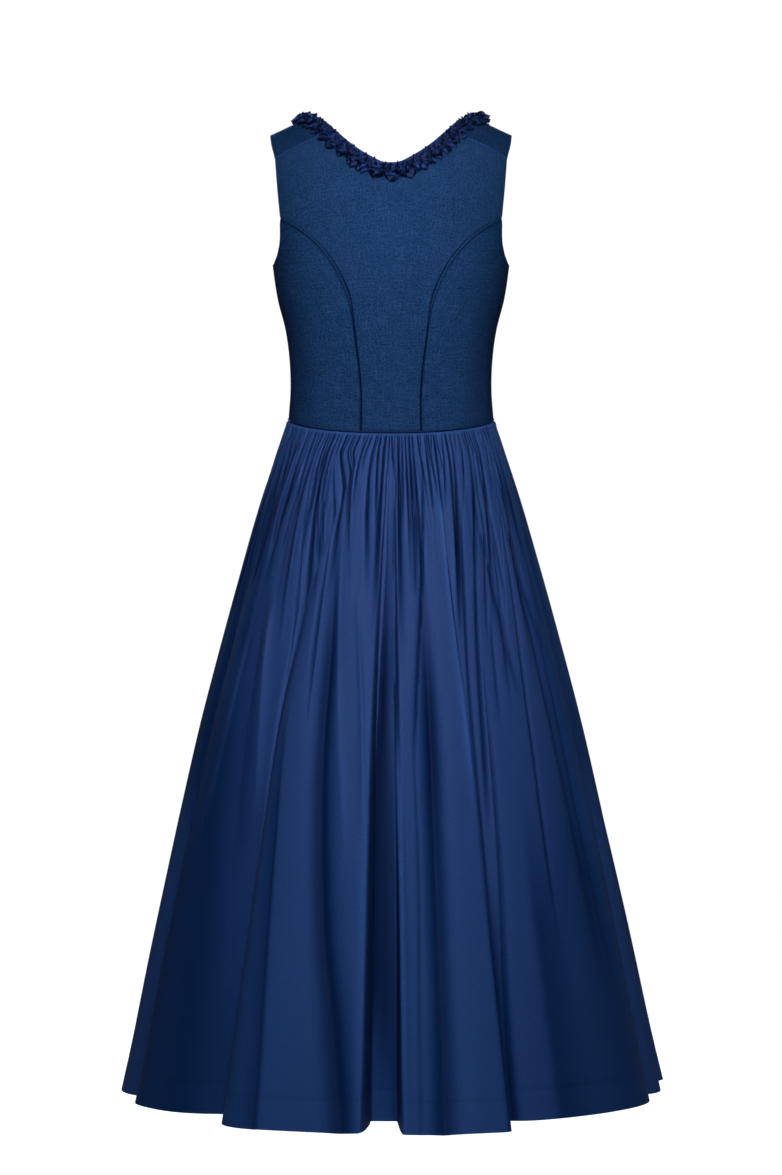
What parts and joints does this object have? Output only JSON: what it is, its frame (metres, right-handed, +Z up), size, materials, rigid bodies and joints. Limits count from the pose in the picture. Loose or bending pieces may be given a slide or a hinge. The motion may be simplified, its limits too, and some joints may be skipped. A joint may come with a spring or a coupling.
{
  "type": "dirndl",
  "caption": "Long sleeveless dirndl in its worn shape: fitted bodice with piped curved back seams, ruched neck edge and full gathered skirt.",
  "frame": {"origin": "between the shoulders, on the garment's centre line, at the level where the straps rest on the wearer; the hem hangs 1.308 m below", "axes": "+Z up; the garment's front faces -Y and its back +Y; +X is the wearer's left"},
  "size_m": [0.7411, 0.6981, 1.3228],
  "materials": {
    "navy_wool": "matte woven wool and linen",
    "navy_satin": "smooth cotton satin with a soft sheen",
    "navy_trim": "gathered satin ribbon"
  },
  "bodies": {
    "root": {"bodice_back": "navy_wool", "bodice_side_back_left": "navy_wool", "bodice_side_back_right": "navy_wool", "bodice_side_front_left": "navy_wool", "bodice_side_front_right": "navy_wool", "bodice_front_left": "navy_wool", "bodice_front_right": "navy_wool", "back_piping_left": "navy_wool", "back_piping_right": "navy_wool", "waist_piping": "navy_satin", "neck_band": "navy_trim", "neck_ruche": "navy_trim", "skirt_back": "navy_satin", "skirt_front_left": "navy_satin", "skirt_front_right": "navy_satin"}
  },
  "joints": []
}
